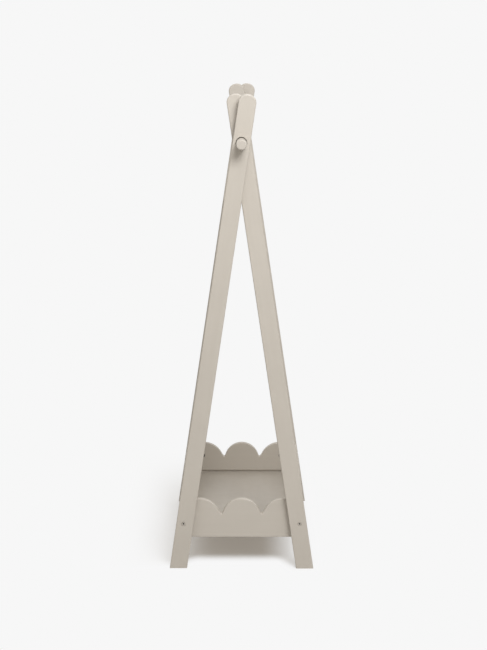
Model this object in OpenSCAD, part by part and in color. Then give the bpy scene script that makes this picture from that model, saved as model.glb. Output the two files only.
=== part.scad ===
// Children's dress-up rail: two crossed A-frames, a round hanging rail, a scalloped
// storage tray between the feet and a mirror in the plane of the back legs.
// X runs along the rail, +Y is the back, where the mirror looks, Z = 0 is the ground.

/* [Overall] */
// Height of the rounded leg tops above the ground
total_h = 1100; // [1020:10:1200]
// Depth over the outer corners of the feet, front to back
foot_depth = 335; // [325:1:350]
// Length over the outer faces of the end frames, at the bolts
frame_len = 640; // [560:10:760]
// Gap left between two pieces that seat on each other
seat = 0.3; // [0.2:0.05:0.4]

/* [Legs] */
// Width of a leg board
leg_w = 40; // [38:1:46]
// Thickness of a leg board
leg_t = 20; // [18:1:24]
// Round-over along the long edges of the legs
leg_round = 2.5; // [1:0.5:4]
// Rise of the rounded top of a leg
leg_crown = 18; // [10:1:20]

/* [Rail] */
// Height of the leg tops above the middle of the rail holes
leg_head = 108; // [88:4:132]
// Diameter of the hanging rail
rail_d = 24; // [20:1:26]
// Radial room of the rail in its holes
rail_room = 1.2; // [0.6:0.1:1.4]
// Length of rail that stands out past each end frame
rail_stub = 50; // [25:5:60]
// Rounding of the ends of the rail
rail_round = 3; // [1:0.5:5]
// Diameter of the pins that keep the rail from sliding out
pin_d = 5; // [4:0.5:6]
// How far a pin stands out on each side of the rail
pin_proud = 7; // [5:1:9]

/* [Tray] */
// Height of the lower edges of the tray boards
tray_base = 70; // [60:5:80]
// Height of the tray boards, lower edge to scallop crown
tray_h = 92; // [92:1:105]
// Thickness of the front and back boards
side_t = 18; // [16:1:20]
// Thickness of the scalloped end boards
end_t = 15; // [14:1:18]
// Thickness of the floor sheet
floor_t = 6; // [4:0.5:7]
// Depth of the grooves that hold the floor sheet
groove_d = 4.5; // [4:0.5:7]
// Height of the shadow slot left above the floor sheet
groove_slot = 5; // [1:0.5:5]
// Board left below the grooves
groove_base = 7; // [6:0.5:9]

/* [Scallops] */
// Pitch of the middle scallop of the end boards
end_pitch = 93; // [88:1:96]
// Depth from the scallop crowns to the valleys
scallop_depth = 36.5; // [30:0.5:40]
// Radius of the small round at the bottom of each valley
valley_r = 2.5; // [2:0.5:3]
// Radius of the wide scallops at the corners of the tray
corner_r = 52.5; // [50:0.5:56]
// Number of full scallops between the corners of the long boards
side_lobes = 5; // [4:1:6]

/* [Fittings] */
// Height of the leg bolts above the lower edge of the tray
bolt_rise = 37; // [36:0.5:40]
// How far the leg bolts sit outside the middle of the leg boards
bolt_offset = 3.5; // [0:0.5:4]
// Diameter of a bolt's shank
bolt_d = 5; // [5:0.5:7]
// Diameter of a bolt's head
bolt_head_d = 8.5; // [8:0.5:12]
// Radial room round a bolt's head in its counterbore
head_room = 0.5; // [0.5:0.1:1.5]
// Thickness of a bolt's head
bolt_head_t = 3; // [2:0.5:4]
// Hexagon socket of the bolts, across flats
bolt_key = 4; // [3:0.5:4.5]
// Distance from the end of a long board to the centre of its barrel nut
nut_inset = 38; // [34:1:46]
// Diameter of the barrel nuts
nut_d = 10; // [9.5:0.5:12]
// Length of the barrel nuts
nut_len = 12; // [10:0.5:12]
// Diameter of the cam locks
cam_d = 10; // [9:0.5:12]
// Distance from the end of an end board to the centre of its cam lock
cam_inset = 23.5; // [22:0.5:26]
// Height of the cam locks above the lower edge of the tray
cam_rise = 58; // [56:0.5:62]
// Diameter of the steel dowels that the cam locks draw in
cam_rod_d = 5; // [4:0.5:6]
// Diameter of the wooden dowels
dowel_d = 8; // [6:0.5:8]
// Length of the wooden dowels
dowel_len = 28; // [24:1:30]

/* [Mirror] */
// Width of the mirror's backboard
mirror_w = 260; // [220:5:285]
// Height of the backboard, along the slope of the legs
mirror_len = 640; // [560:5:700]
// Height of the backboard's lower edge above the ground
mirror_base = 186; // [186:1:210]
// Thickness of the backboard
back_t = 10; // [9:0.5:10]
// Corner radius of the backboard
back_round = 20; // [10:1:30]
// Width of the painted border round the glass
border = 14; // [12:1:20]
// Thickness of the mirror glass
glass_t = 3; // [2:0.5:3]
// Thickness of the mounting tape behind the glass
tape_t = 0.8; // [0.5:0.1:1]
// Height of the glass above the border
glass_proud = 0.8; // [0.3:0.1:1]
// Height of the crossbar that carries the mirror, along the slope
bar_w = 36; // [30:1:40]
// Thickness of the crossbar
bar_t = 18; // [16:1:19]
// Distance from the middle of the legs forward to the front of the crossbar
bar_front = 5; // [3:0.5:8]
// Length of a bracket's arm behind the backboard
bracket_reach = 34; // [32:1:40]
// Length of a bracket's arm on the leg
bracket_arm = 21; // [18:1:22]
// Thickness of the bracket steel
bracket_t = 2; // [1.5:0.5:2.5]
// Width of the brackets
bracket_w = 18; // [14:1:22]
// Number of brackets up the leg
bracket_count = 3; // [2:1:4]
// Shank diameter of the wood screws
screw_d = 3.5; // [3:0.5:4]

/* [Hidden] */

$fn = 64;
paint = [0.80, 0.77, 0.72];
steel = [0.62, 0.62, 0.63];
birch = [0.86, 0.75, 0.58];
eps = 0.5;                       // overshoot of cutting shapes
fit = 0.15;                      // radial room of pins and screws in their holes

// legs: tilt puts the outer foot corner on the stated depth
pivot_h = total_h - leg_head;                             // middle of the rail holes
leg_tilt = acos((leg_w / 2) / norm([pivot_h, foot_depth / 2])) - atan2(pivot_h, foot_depth / 2);
leg_half = leg_w / 2 / cos(leg_tilt);                     // half width on a level cut
crotch_h = pivot_h - leg_half / tan(leg_tilt);            // where the inner edges meet
crown_top = norm([leg_w / 2 * sin(leg_tilt), leg_crown * cos(leg_tilt)]);
leg_up = (total_h - pivot_h - crown_top) / cos(leg_tilt) + leg_crown;
leg_down = (pivot_h + leg_w) / cos(leg_tilt);
bolt_h = tray_base + bolt_rise;
// the outer legs lean outwards so that they pass the inner ones at the crotch
leg_lean = atan((leg_t + seat) / (crotch_h - bolt_h));
inner_face = frame_len / 2 - leg_t;                       // inner faces of the inner legs
outer_leg_x = frame_len / 2 - leg_t / 2 + (pivot_h - bolt_h) * tan(leg_lean);

// rail
hole_d = rail_d + 2 * rail_room;
rail_h = pivot_h - rail_room + seat;
rail_half = outer_leg_x + leg_t / 2 + rail_stub;
pin_x = inner_face - pin_d / 2 - 1;
pin_len = rail_d + 2 * pin_proud;

// tray: its ends clear the leaning outer legs down to the lower edge
tray_half = inner_face - seat - bolt_rise * tan(leg_lean);
side_mid = (pivot_h - bolt_h) * tan(leg_tilt) + bolt_offset;  // middle of the long boards
tray_half_w = side_mid - side_t / 2;                      // inner faces of the long boards
end_half = tray_half_w - seat;
tray_top = tray_base + tray_h;
floor_z = tray_base + groove_base + seat;
groove_h = floor_t + 2 * seat + groove_slot;
end_mid = tray_half - end_t / 2;                          // middle of the end boards
corner_w = tray_half_w - end_pitch / 2;
side_pitch = 2 * (tray_half - corner_w) / side_lobes;
dowel_low = tray_base + groove_base + groove_h + dowel_d / 2 + 2;
dowel_high = tray_top - 18;
cam_h = tray_base + cam_rise;
bolt_tip = tray_half - nut_inset - nut_d;                 // inner end of a bolt
bolt_seat = frame_len / 2 - bolt_head_t - seat;           // floor of the counterbore
cam_depth = end_t / 2 + cam_rod_d / 2 + 1;
cam_rod_in = 9;                                           // steel dowel in the long board

// mirror, in the sloping plane of the back legs
bar_back = bar_t - bar_front;
mirror_v = -(pivot_h - mirror_base) / cos(leg_tilt);      // lower edge along the slope
bar_v = mirror_v + 1;
bar_y = (bar_back - bar_front) / 2;
bar_dowel_v = [bar_v + bar_w * 0.27, bar_v + bar_w * 0.73];
bar_dowel_in = 12;                                        // dowel in the leg
back_face = bar_front + seat;                             // rear face of the backboard
mirror_right = leg_face(mirror_v) - 1;
mirror_mid = mirror_right - mirror_w / 2;
recess = glass_t + tape_t + 2 * seat - glass_proud;
glass_w = mirror_w - 2 * border;
glass_len = mirror_len - 2 * border;
leg_screw = 12;                                           // screw length into the leg
back_screw = back_t - recess - 0.5;                       // screw length into the backboard
screw_head_d = 2 * screw_d;
screw_head_t = 2;
bracket_v = [for (i = [0 : bracket_count - 1])
    mirror_v + mirror_len * (0.2 + 0.64 * i / (bracket_count - 1))];
bracket_end = 8;                                          // screw hole to the end of an arm
leg_hole_y = bracket_arm - bracket_end - back_face + bracket_t;
board_hole_x = bracket_end - bracket_reach;
bar_screw_x = [mirror_mid - mirror_w / 4, mirror_mid + mirror_w / 4];

// ---- helpers -------------------------------------------------------------

// children on both ends, the second one mirrored
module both_ends() {
    children();
    mirror([1, 0, 0]) children();
}

// inner face of the right outer leg at a place up the slope, measured from the pivot
function leg_face(v) = outer_leg_x - leg_t / 2 / cos(leg_lean) + v * cos(leg_tilt) * tan(leg_lean);

// children in the sloping plane of the back legs, local -Y outwards, local +Z up the slope
module back_plane() {
    mirror([0, 1, 0]) translate([0, 0, pivot_h]) rotate([-leg_tilt, 0, 0]) children();
}

// children at the inner face of the right outer leg, leaning with it
module on_leg(v) {
    back_plane() translate([leg_face(v) - seat, 0, v]) rotate([0, leg_lean, 0]) children();
}

// a cylinder along X from x0 to x1
module rod_x(d, x0, x1, y, z) {
    translate([x0, y, z]) rotate([0, 90, 0]) cylinder(d = d, h = x1 - x0);
}

// a cylinder along Y from y0 to y1
module rod_y(d, x, y0, y1, z) {
    translate([x, y0, z]) rotate([-90, 0, 0]) cylinder(d = d, h = y1 - y0);
}

// rectangle with true round corners, centred
module round_rect(w, h, r) {
    square([w - 2 * r, h], center = true);
    square([w, h - 2 * r], center = true);
    for (sx = [-1, 1], sy = [-1, 1])
        translate([sx * (w / 2 - r), sy * (h / 2 - r)]) circle(r);
}

// a wood screw with its head's underside at z = 0 and its shank going down
module wood_screw(len) {
    difference() {
        cylinder(d1 = screw_head_d, d2 = screw_head_d * 0.6, h = screw_head_t);
        for (a = [0, 90]) rotate(a) translate([0, 0, screw_head_t * 1.4])
            cube([screw_head_d * 0.6, 0.8, 2 * screw_head_t], center = true);
    }
    translate([0, 0, -len]) cylinder(d = screw_d, h = len + 0.1);
}

// ---- legs ----------------------------------------------------------------

// side outline of a leg board, pivot at the origin, elliptical crown on top
module leg_outline() {
    crown_base = leg_up - leg_crown;
    steps = 24;
    polygon(concat(
        [[-leg_w / 2, -leg_down], [leg_w / 2, -leg_down]],
        [for (i = [0 : steps]) let (a = 180 * i / steps)
            [leg_w / 2 * cos(a), crown_base + leg_crown * sin(a)]]));
}

// straight board with rounded long edges, axis through the pivot
module leg_board() {
    intersection() {
        translate([0, 0, -leg_down])
            linear_extrude(leg_down + leg_up) round_rect(leg_t, leg_w, leg_round);
        rotate([90, 0, 90])
            linear_extrude(leg_t + 2 * eps, center = true) leg_outline();
    }
}

// level foot cut, rail hole, and bolt hole with its counterbore at side sy
module leg_cuts(sy) {
    translate([-frame_len, -foot_depth, -2 * leg_w]) cube([2 * frame_len, 2 * foot_depth, 2 * leg_w]);
    rod_x(hole_d, frame_len / 2 - 3 * leg_t, frame_len / 2 + 3 * leg_t, 0, pivot_h);
    rod_x(bolt_d + 4 * fit, inner_face - leg_t, frame_len / 2, sy * side_mid, bolt_h);
    rod_x(bolt_head_d + 2 * head_room, bolt_seat - seat, frame_len / 2 + leg_t, sy * side_mid, bolt_h);
}

// right-hand outer leg: foot at the back, leaning out past the inner leg, bored for the crossbar
module outer_leg() {
    difference() {
        translate([outer_leg_x, 0, pivot_h]) rotate([0, leg_lean, 0]) rotate([leg_tilt, 0, 0]) leg_board();
        leg_cuts(1);
        back_plane() for (v = bar_dowel_v)
            rod_x(dowel_d + 2 * fit, leg_face(v) - 1, leg_face(v) + bar_dowel_in + seat, bar_y, v);
    }
}

// right-hand inner leg: foot at the front, upright along X
module inner_leg() {
    difference() {
        translate([inner_face + leg_t / 2, 0, pivot_h]) rotate([-leg_tilt, 0, 0]) leg_board();
        leg_cuts(-1);
    }
}

module left_outer_leg() { color(paint) mirror([1, 0, 0]) outer_leg(); }
module left_inner_leg() { color(paint) mirror([1, 0, 0]) inner_leg(); }
module right_inner_leg() { color(paint) inner_leg(); }

// the right outer leg also takes the bracket screws
module right_outer_leg() {
    color(paint) difference() {
        outer_leg();
        for (v = bracket_v)
            on_leg(v) rod_x(screw_d + 2 * fit, -eps, leg_screw + 2 * seat, leg_hole_y, 0);
    }
}

// ---- rail ----------------------------------------------------------------

// round rail with softly rounded ends and cross holes for its pins
module hanging_rail() {
    r = rail_d / 2;
    color(paint) difference() {
        translate([0, 0, rail_h]) rotate([0, 90, 0]) rotate_extrude() {
            translate([0, -rail_half]) square([r - rail_round, 2 * rail_half]);
            translate([0, rail_round - rail_half]) square([r, 2 * (rail_half - rail_round)]);
            for (s = [-1, 1]) translate([r - rail_round, s * (rail_half - rail_round)]) circle(rail_round);
        }
        both_ends() translate([pin_x, 0, rail_h])
            cylinder(d = pin_d + 2 * fit, h = 2 * rail_d, center = true);
    }
}

module rail_stop_pins() {
    color(birch) both_ends() translate([pin_x, 0, rail_h]) cylinder(d = pin_d, h = pin_len, center = true);
}

// ---- tray ----------------------------------------------------------------

// scalloped board outline: full lobes of one pitch, a wide lobe cut off at each corner
module scallops(half, lobes, pitch) {
    edge = lobes * pitch / 2;                             // outermost valley
    lobe_r = pitch / 2 - valley_r * 0.8;
    valley_h = tray_h - scallop_depth;
    difference() {
        intersection() {
            union() {
                translate([-half, 0]) square([2 * half, valley_h + valley_r]);
                for (i = [0 : lobes - 1])
                    translate([(i + 0.5) * pitch - edge, tray_h - lobe_r]) circle(lobe_r);
                for (s = [-1, 1])
                    translate([s * (edge + corner_r + valley_r * 0.4), tray_h - corner_r]) circle(corner_r);
            }
            translate([-half, 0]) square([2 * half, tray_h]);
        }
        for (i = [0 : lobes]) translate([i * pitch - edge, valley_h + valley_r]) circle(valley_r);
    }
}

// right-hand end board with groove, cam pockets and dowel holes
module end_panel() {
    color(paint) difference() {
        translate([tray_half - end_t, 0, tray_base]) rotate([90, 0, 90])
            linear_extrude(end_t) scallops(end_half, 1, end_pitch);
        translate([tray_half - end_t - groove_d, -tray_half_w, tray_base + groove_base])
            cube([2 * groove_d, 2 * tray_half_w, groove_h]);
        for (s = [0, 1]) mirror([0, s, 0]) {
            rod_x(cam_d + 2 * seat, tray_half - end_t - eps, tray_half - end_t + cam_depth + seat,
                  end_half - cam_inset, cam_h);
            rod_y(cam_rod_d + 2 * fit, end_mid, end_half - cam_inset, tray_half_w, cam_h);
            for (z = [dowel_low, dowel_high])
                rod_y(dowel_d + 2 * fit, end_mid, side_mid + 6 - dowel_len - seat, tray_half_w, z);
        }
    }
}

module right_end_panel() { end_panel(); }
module left_end_panel() { mirror([1, 0, 0]) end_panel(); }

// back board, with groove, bolt holes, barrel-nut pockets and dowel holes
module long_side() {
    color(paint) difference() {
        translate([0, tray_half_w + side_t, tray_base]) rotate([90, 0, 0])
            linear_extrude(side_t) scallops(tray_half, side_lobes, side_pitch);
        translate([-tray_half - eps, tray_half_w - groove_d, tray_base + groove_base])
            cube([2 * (tray_half + eps), 2 * groove_d, groove_h]);
        both_ends() {
            rod_x(bolt_d + 4 * fit, bolt_tip - seat, tray_half + eps, side_mid, bolt_h);
            rod_y(nut_d + 2 * fit, tray_half - nut_inset, tray_half_w - eps,
                  side_mid + nut_len / 2 + seat, bolt_h);
            rod_y(cam_rod_d + 2 * fit, end_mid, tray_half_w - eps, tray_half_w + cam_rod_in + seat, cam_h);
            for (z = [dowel_low, dowel_high])
                rod_y(dowel_d + 2 * fit, end_mid, tray_half_w - eps, side_mid + 6 + seat, z);
        }
    }
}

module tray_back_side() { long_side(); }
module tray_front_side() { mirror([0, 1, 0]) long_side(); }

module tray_floor() {
    half_x = tray_half - end_t + groove_d - seat;
    half_y = tray_half_w + groove_d - seat;
    color(paint) translate([-half_x, -half_y, floor_z]) cube([2 * half_x, 2 * half_y, floor_t]);
}

// ---- fittings ------------------------------------------------------------

// one bolt on the right, at the back
module leg_bolt() {
    difference() {
        union() {
            rod_x(bolt_head_d, bolt_seat, bolt_seat + bolt_head_t, side_mid, bolt_h);
            rod_x(bolt_d, bolt_tip, bolt_seat + 0.1, side_mid, bolt_h);
        }
        translate([bolt_seat - 1, side_mid, bolt_h]) rotate([0, 90, 0])
            cylinder(d = bolt_key / cos(30), h = 2 * bolt_head_t, $fn = 6);
    }
}

module leg_bolts() {
    color(steel) both_ends() for (s = [0, 1]) mirror([0, s, 0]) leg_bolt();
}

// barrel nuts across the bolts, with their cross bores and driver slots
module barrel_nuts() {
    x = tray_half - nut_inset;
    color(steel) both_ends() for (s = [0, 1]) mirror([0, s, 0]) difference() {
        rod_y(nut_d, x, side_mid - nut_len / 2, side_mid + nut_len / 2, bolt_h);
        rod_x(bolt_d + 2 * fit, x - nut_d, x + nut_d, side_mid, bolt_h);
        translate([x - nut_d / 2, side_mid - nut_len / 2 - eps, bolt_h - 0.6])
            cube([nut_d, 1 + eps, 1.2]);
    }
}

// cam locks in the end boards, with the passage for the steel dowel and a cross recess
module cam_locks() {
    x0 = tray_half - end_t;
    y = end_half - cam_inset;
    color(steel) both_ends() for (s = [0, 1]) mirror([0, s, 0]) difference() {
        rod_x(cam_d, x0 + seat, x0 + cam_depth, y, cam_h);
        rod_y(cam_rod_d + 2 * fit, end_mid, y - cam_d / 4, y + cam_d, cam_h);
        translate([x0, y - cam_d * 0.35, cam_h - 0.6]) cube([1.5, cam_d * 0.7, 1.2]);
        translate([x0, y - 0.6, cam_h - cam_d * 0.35]) cube([1.5, 1.2, cam_d * 0.7]);
    }
}

module cam_dowels() {
    y = end_half - cam_inset;
    color(steel) both_ends() for (s = [0, 1]) mirror([0, s, 0])
        rod_y(cam_rod_d, end_mid, y - cam_d / 4 + seat, tray_half_w + cam_rod_in, cam_h);
}

module tray_dowels() {
    color(birch) both_ends() for (s = [0, 1], z = [dowel_low, dowel_high]) mirror([0, s, 0])
        rod_y(dowel_d, end_mid, side_mid + 6 - dowel_len, side_mid + 6, z);
}

// ---- mirror --------------------------------------------------------------

// crossbar cut to the lean of the outer legs, doweled at both ends and bored for the mirror screws
module mirror_crossbar() {
    low = leg_face(bar_v) - seat;
    high = leg_face(bar_v + bar_w) - seat;
    color(paint) back_plane() difference() {
        intersection() {
            translate([0, bar_y, bar_v]) rotate([0, 90, 0]) translate([-bar_w / 2, 0, 0])
                linear_extrude(2 * high, center = true) round_rect(bar_w, bar_t, leg_round);
            translate([0, leg_w, bar_v]) rotate([90, 0, 0])
                linear_extrude(2 * leg_w) polygon([[-low, 0], [low, 0], [high, bar_w], [-high, bar_w]]);
        }
        both_ends() for (v = bar_dowel_v)
            rod_x(dowel_d + 2 * fit, leg_face(v) + bar_dowel_in - dowel_len - seat, high + 1, bar_y, v);
        for (x = bar_screw_x)
            rod_y(screw_d + 2 * fit, x, -bar_front - eps, bar_back + eps, bar_v + bar_w / 2);
    }
}

module crossbar_dowels() {
    color(birch) back_plane() both_ends() for (v = bar_dowel_v)
        rod_x(dowel_d, leg_face(v) + bar_dowel_in - dowel_len, leg_face(v) + bar_dowel_in, bar_y, v);
}

// painted backboard with a shallow recess for the glass and pilot holes behind
module mirror_backboard() {
    color(paint) back_plane() difference() {
        translate([mirror_mid, -back_face, mirror_v + mirror_len / 2]) rotate([90, 0, 0])
            linear_extrude(back_t) round_rect(mirror_w, mirror_len, back_round);
        translate([mirror_mid, -back_face - back_t + recess, mirror_v + mirror_len / 2]) rotate([90, 0, 0])
            linear_extrude(recess + eps)
                round_rect(glass_w + 2 * seat, glass_len + 2 * seat, back_round - border / 2);
        for (v = bracket_v)
            translate([leg_face(v) - seat, 0, v]) rotate([0, leg_lean, 0])
                rod_y(screw_d + 2 * fit, board_hole_x, -back_face - back_screw - seat, -back_face + eps, 0);
        for (x = bar_screw_x)
            rod_y(screw_d + 2 * fit, x, -back_face - back_screw - seat, -back_face + eps,
                  bar_v + bar_w / 2);
    }
}

// three strips of mounting tape behind the glass
module mirror_tape() {
    strip_w = 20;
    y = -back_face - back_t + recess - seat;
    color([0.2, 0.2, 0.2]) back_plane() for (k = [-1, 0, 1])
        translate([mirror_mid + k * glass_w / 3 - strip_w / 2, y - tape_t, mirror_v + 2 * border])
            cube([strip_w, tape_t, mirror_len - 4 * border]);
}

module mirror_glass() {
    y = -back_face - back_t + recess - 2 * seat - tape_t;
    color([0.85, 0.9, 0.93]) back_plane() translate([mirror_mid, y, mirror_v + mirror_len / 2])
        rotate([90, 0, 0]) linear_extrude(glass_t)
            round_rect(glass_w, glass_len, back_round - border / 2 - seat);
}

// steel angles between the backboard and the inner face of the right outer leg
module mirror_brackets() {
    y0 = -back_face + seat;
    color(steel) for (v = bracket_v) on_leg(v) difference() {
        translate([0, 0, -bracket_w / 2]) {
            translate([-bracket_reach, y0, 0]) cube([bracket_reach, bracket_t, bracket_w]);
            translate([-bracket_t, y0, 0]) cube([bracket_t, bracket_arm, bracket_w]);
        }
        rod_y(screw_d + 2 * fit, board_hole_x, y0 - eps, y0 + bracket_t + eps, 0);
        rod_x(screw_d + 2 * fit, -bracket_t - eps, eps, leg_hole_y, 0);
    }
}

module bracket_screws() {
    y0 = -back_face + seat;
    color(steel) for (v = bracket_v) on_leg(v) {
        translate([board_hole_x, y0 + bracket_t + seat, 0]) rotate([-90, 0, 0])
            wood_screw(bracket_t + 2 * seat + back_screw);
        translate([-bracket_t - seat, leg_hole_y, 0])
            rotate([0, -90, 0]) wood_screw(bracket_t + 2 * seat + leg_screw);
    }
}

module mirror_screws() {
    color(steel) back_plane() for (x = bar_screw_x)
        translate([x, bar_back + seat, bar_v + bar_w / 2]) rotate([-90, 0, 0])
            wood_screw(seat + bar_t + seat + back_screw);
}

// ---- assembly ------------------------------------------------------------

left_outer_leg();
left_inner_leg();
right_outer_leg();
right_inner_leg();
hanging_rail();
rail_stop_pins();
left_end_panel();
right_end_panel();
tray_front_side();
tray_back_side();
tray_floor();
leg_bolts();
barrel_nuts();
cam_locks();
cam_dowels();
tray_dowels();
mirror_crossbar();
crossbar_dowels();
mirror_backboard();
mirror_tape();
mirror_glass();
mirror_brackets();
bracket_screws();
mirror_screws();
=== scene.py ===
"""A children's dress-up storage unit: satin painted A-frames, rail and scalloped tray, and a mirror."""
from math import acos, asin, atan, atan2, cos, degrees, hypot, pi, radians, sin, sqrt, tan

import bmesh
import bpy
from mathutils import Matrix, Vector


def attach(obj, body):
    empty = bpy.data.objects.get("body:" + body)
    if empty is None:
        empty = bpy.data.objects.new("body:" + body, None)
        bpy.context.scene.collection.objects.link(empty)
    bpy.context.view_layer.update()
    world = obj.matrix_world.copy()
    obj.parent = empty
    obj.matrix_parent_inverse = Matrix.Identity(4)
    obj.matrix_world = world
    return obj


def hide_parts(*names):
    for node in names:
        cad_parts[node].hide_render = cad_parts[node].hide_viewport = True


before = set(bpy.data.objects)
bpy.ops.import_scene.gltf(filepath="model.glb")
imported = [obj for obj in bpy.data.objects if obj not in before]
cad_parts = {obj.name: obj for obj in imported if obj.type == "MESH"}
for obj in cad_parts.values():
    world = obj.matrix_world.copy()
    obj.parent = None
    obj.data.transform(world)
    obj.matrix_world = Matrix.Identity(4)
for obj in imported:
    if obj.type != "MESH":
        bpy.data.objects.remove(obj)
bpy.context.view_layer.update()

MM = 0.001                              # a millimetre in metres

# ---- the photograph's view -------------------------------------------------

CAMERA_PLACE = Vector((-4.589, -0.0055, 1.277))
CAMERA_PITCH = radians(9.33)            # looking down along +X
CAMERA_YAW = radians(0.0121)
LENS = 104.95
SENSOR = 36                             # along the picture's long side, as LENS in millimetres
CLIP_NEAR, CLIP_FAR = 0.1, 60

# ---- light -----------------------------------------------------------------

# each lamp: the way its light travels, the point it aims at, distance, diameter, power
LAMPS = {"front": ((0.807, 0.142, -0.574), (0, 0, 0.6), 2.9, 1.0, 28),
         "key": ((0.788, 0.287, -0.545), (0, 0, 0.8), 2.1, 0.8, 13.4),
         "top": ((0.342, 0, -0.940), (0, 0, 0.6), 2.8, 1.6, 16),
         "back": ((-0.643, 0, -0.766), (0, 0, 0.6), 3.0, 1.5, 10)}
LAMP_TINT = (0.98, 1.0, 1.045)
SKY = 0.46
SKY_TINT = (1.0, 0.95, 0.875)
WHITE = (1, 1, 1)
BACKGROUND = 0.930                      # shows as 247 of 255

FLOOR_HALF = 12                         # half the width of the floor
FLOOR_TONE = (0.6, 0.6, 0.6)            # what the floor throws back at the object
FLOOR_SEEN = (0.899, 0.930, 0.967)      # what the eye sees of it, cool so that together with the painted warm glow the lit floor stays neutral
FLOOR_PAINTED_GLOW = ((1, 0.873, 0.725), 1.065)  # painted warm glow in the floor, which lightens and warms the shadow under the tray
FLOOR_PAINTED_GLOW_SHARE = 0.188

# where the floor and its shadow fade to the background: each pair is a start and an end, in metres
FADE_NEAR = (-0.186, -0.272)            # along X, towards the photograph's camera
FADE_FAR = (0.244, 0.892)
FADE_LEFT = (0.063, 0.305)              # along Y, as the photograph has left and right
FADE_RIGHT = (-0.042, -0.188)
BEND_AT = (0.10, 0.15)                  # along Y; left of it, the near fade lies nearer by BEND_BY
BEND_BY = 0.047

# the share of shadow kept past those fades, beside the near right foot, and its borders
FOOT_SHARE = 0.606
FOOT_SLANT, FOOT_SHIFT = -0.374, -0.095
FOOT_SIDE = (-0.080, -0.116)            # it sets in where y + x * FOOT_SLANT + FOOT_SHIFT is here
FOOT_BACK = (-0.184, -0.276)            # it sets in along X
FOOT_FRONT = (-0.32, -0.35)             # it ends along X
FOOT_OUTER = (-0.145, -0.175)           # it ends along Y

# ---- sizes of the CAD model, in millimetres --------------------------------

TOTAL_H = 1100
FOOT_DEPTH = 335                        # over the feet, front to back
FRAME_LEN = 640                         # over the end frames, at the bolts
SEAT = 0.3                              # gap between two pieces that seat on each other
FIT = 0.15                              # radial room of pins and screws

LEG_W, LEG_T = 40, 20
LEG_ROUND = 2.5
LEG_CROWN = 18                          # rise of a leg's rounded top
LEG_HEAD = 108                          # leg tops above the middle of the rail's holes

RAIL_D = 24
RAIL_ROOM = 1.2                         # radial room in its holes
RAIL_STUB = 50                          # how far it stands out past each frame
RAIL_ROUND = 3
PIN_D = 5
PIN_PROUD = 7
PIN_GAP = 1                             # between a stop pin and the leg beside it

TRAY_BASE, TRAY_H = 70, 92
SIDE_T, END_T, FLOOR_T = 18, 15, 6
GROOVE_D, GROOVE_SLOT, GROOVE_BASE = 4.5, 5, 7
END_PITCH = 93                          # of the end boards' middle scallop
SCALLOP_DEPTH = 36.5
VALLEY_R = 2.5
CORNER_R = 52.5
SIDE_LOBES = 5
LOBE_GAP = 0.4                          # from a valley's middle to a lobe, as a share of VALLEY_R
LOBE_CUT = 3                            # degrees that a lobe stops short of its valley
VALLEY_ARC = (340, 200, 20)             # start, end and step of a valley's round, in degrees

BOLT_RISE = 37                          # above the tray's lower edge
BOLT_OFFSET = 3.5                       # outside the middle of the leg boards
BOLT_D, BOLT_HEAD_D, BOLT_HEAD_T = 5, 8.5, 3
BOLT_KEY = 4                            # hexagon socket, across flats
HEAD_ROOM = 0.5
NUT_INSET, NUT_D, NUT_LEN = 38, 10, 12
CAM_D, CAM_INSET, CAM_RISE = 10, 23.5, 58
CAM_ROD_D, CAM_ROD_IN = 5, 9
CAM_PAST = 1                            # how much deeper a cam lock goes than its steel dowel
DOWEL_D, DOWEL_LEN = 8, 28
DOWEL_PAST = 6                          # from the middle of a long board to a dowel's outer end
DOWEL_ABOVE, DOWEL_BELOW = 2, 18        # lower dowels above the groove, upper ones below the top

MIRROR_W, MIRROR_LEN, MIRROR_BASE = 260, 640, 186
MIRROR_GAP = 1                          # between the backboard and the leg beside it
BACK_T, BACK_ROUND, BORDER = 10, 20, 14
GLASS_T, TAPE_T, GLASS_PROUD = 3, 0.8, 0.8
BAR_W, BAR_T, BAR_FRONT = 36, 18, 5
BAR_RAISE = 1                           # above the backboard's lower edge
BAR_DOWEL_IN = 12
BAR_DOWEL_SHARES = (0.27, 0.73)         # of the bar's height
BRACKET_REACH, BRACKET_ARM = 34, 21
BRACKET_T, BRACKET_W, BRACKET_END = 2, 18, 8
BRACKET_COUNT = 3
BRACKET_LOW, BRACKET_SPAN = 0.2, 0.64   # shares of the backboard's height
SCREW_D, LEG_SCREW = 3.5, 12
SCREW_COVER = 0.5                       # board left over the tip of a screw

# ---- finer detail, in millimetres ------------------------------------------

TRAY_EASE, FLOOR_EASE, BACK_EASE, GLASS_EASE, BRACKET_EASE = 1.6, 0.6, 2.2, 0.8, 0.35
RAIL_HOLE_RIM, HEAD_HOLE_RIM, TRAY_HOLE_RIM = 0.4, 0.3, 0.25
LIP_ROUND = 1                           # upper edge of the end boards' grooves
HEAD_EASE = 0.4
BOLT_POINT = (0.6, 0.8)                 # chamfer of a bolt's tip: inwards and along
SOCKET_DEPTH = 2.5
MOUTH_DEPTH, MOUTH_RIM = 1.2, 0.8       # rounded mouth of the socket
PIN_END = ((0, 0.8), (0.1, 0.5), (0.6, 0))      # in from the wall and from the end
SCREW_POINT, SCREW_TIP_R, SCREW_TIP = 3, 0.4, 0.3
SCREW_EDGE, SCREW_DOME = 0.5, 1.5       # a head's straight edge, and its dome above that
DOME_TURNS = (0, 20, 40, 60, 75)        # in degrees
CROSS_LEN, CROSS_W, CROSS_FLOOR = 4.2, 0.9, 0.9
BEND_OUTSIDE, BEND_INSIDE = 2.4, 0.6    # radii of a bracket's bend
OVER, OVERRUN = 1, 2                    # how far a cut or a flared drill runs on past a face
SHARP = 0.01                            # ease of a cutting slab
RAIL_SEGMENTS, SMALL_SEGMENTS = 96, 32
CREASE, PIN_CREASE = 32, 50             # in degrees; edges bent by more are shaded sharp
FLAT_WEIGHT = 100                       # large faces alone decide the shading at a rounded edge
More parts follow.
